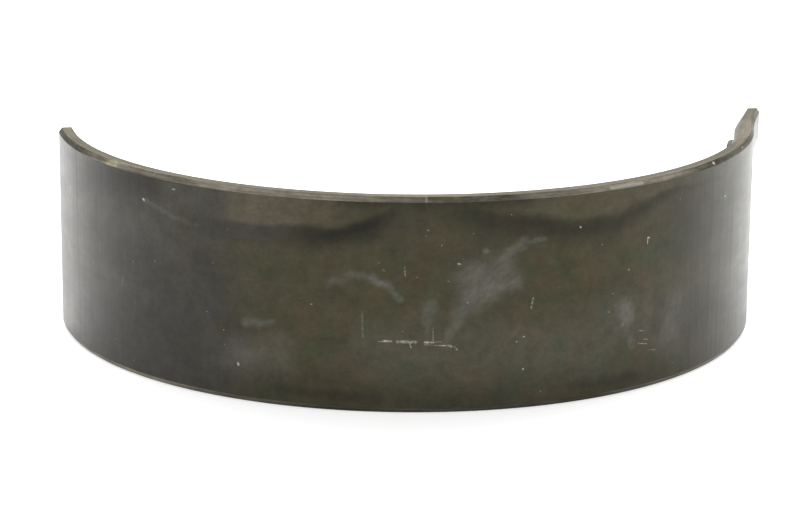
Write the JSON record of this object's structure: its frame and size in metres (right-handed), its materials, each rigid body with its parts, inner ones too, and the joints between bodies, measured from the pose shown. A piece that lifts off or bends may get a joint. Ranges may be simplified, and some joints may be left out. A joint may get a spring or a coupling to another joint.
{
  "type": "engine bearing shell",
  "caption": "Plain half-round bearing shell for an engine journal, sprung slightly open, with chamfered side faces and a locating tang pressed out of one corner.",
  "frame": {"origin": "middle of the shell's bounding box, on the surface that its lower side face stands on", "axes": "+Z along the journal's axis, from the lower side face to the upper one; +X across the two joint faces, towards the end with the tang; +Y from the crown to the open side. The journal's axis passes through x = -0.00070 m, y = 0.01351 m"},
  "size_m": [0.0542, 0.0258, 0.0153],
  "materials": {
    "shell_steel": "satin, slightly stained"
  },
  "bodies": {
    "root": {"bearing_shell": "shell_steel"}
  },
  "joints": []
}
